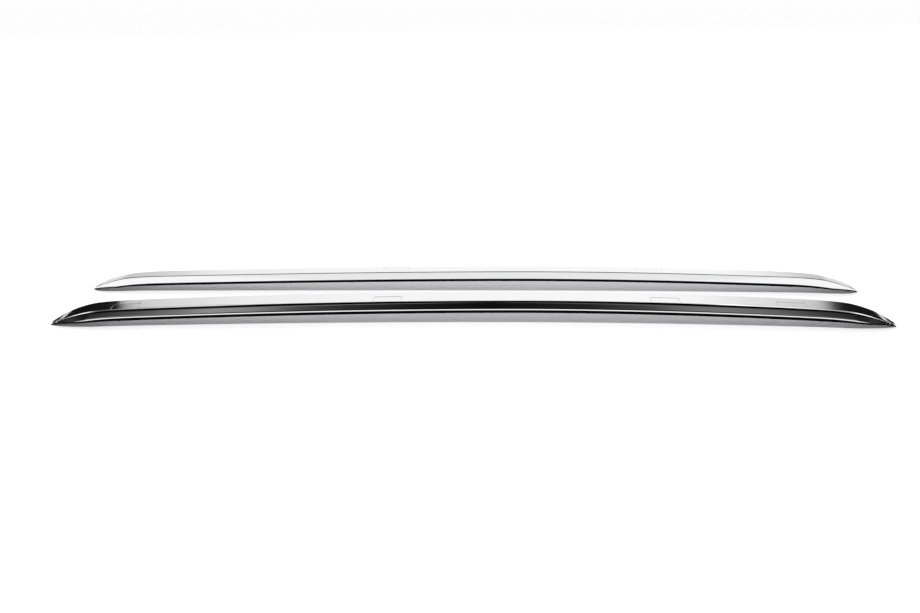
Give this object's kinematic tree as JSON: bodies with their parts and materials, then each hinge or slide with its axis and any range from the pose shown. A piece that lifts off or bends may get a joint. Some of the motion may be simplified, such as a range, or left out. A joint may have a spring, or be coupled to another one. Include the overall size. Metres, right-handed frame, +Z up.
{
  "type": "roof side rail pair",
  "caption": "Pair of low, arched roof side rails of polished aluminium tube with pointed ends, flush cover plugs, rubber base seals, rubber end pads and short locating pins.",
  "frame": {"origin": "on the floor, midway between the two rails and midway between their tips", "axes": "+X forward along the rails, +Y to the left, +Z up as the rails stand on their end pads"},
  "size_m": [1.73, 0.2274, 0.0602],
  "materials": {
    "polished_aluminium": "polished, anodised",
    "plug_aluminium": "polished, anodised",
    "seal_rubber": "matt",
    "pad_rubber": "matt",
    "sleeve_steel": "zinc plated",
    "pin_plastic": "moulded, matt"
  },
  "bodies": {
    "root": {"right_rail": "polished_aluminium", "right_seal": "seal_rubber", "right_rear_pad": "pad_rubber", "right_front_pad": "pad_rubber", "right_plug_1": "plug_aluminium", "right_plug_2": "plug_aluminium", "right_plug_3": "plug_aluminium", "right_plug_4": "plug_aluminium", "right_sleeve_1": "sleeve_steel", "right_sleeve_2": "sleeve_steel", "right_sleeve_3": "sleeve_steel", "right_sleeve_4": "sleeve_steel", "right_rear_pin": "pin_plastic", "right_front_pin": "pin_plastic", "left_rail": "polished_aluminium", "left_seal": "seal_rubber", "left_rear_pad": "pad_rubber", "left_front_pad": "pad_rubber", "left_plug_1": "plug_aluminium", "left_plug_2": "plug_aluminium", "left_plug_3": "plug_aluminium", "left_plug_4": "plug_aluminium", "left_sleeve_1": "sleeve_steel", "left_sleeve_2": "sleeve_steel", "left_sleeve_3": "sleeve_steel", "left_sleeve_4": "sleeve_steel", "left_rear_pin": "pin_plastic", "left_front_pin": "pin_plastic"}
  },
  "joints": []
}
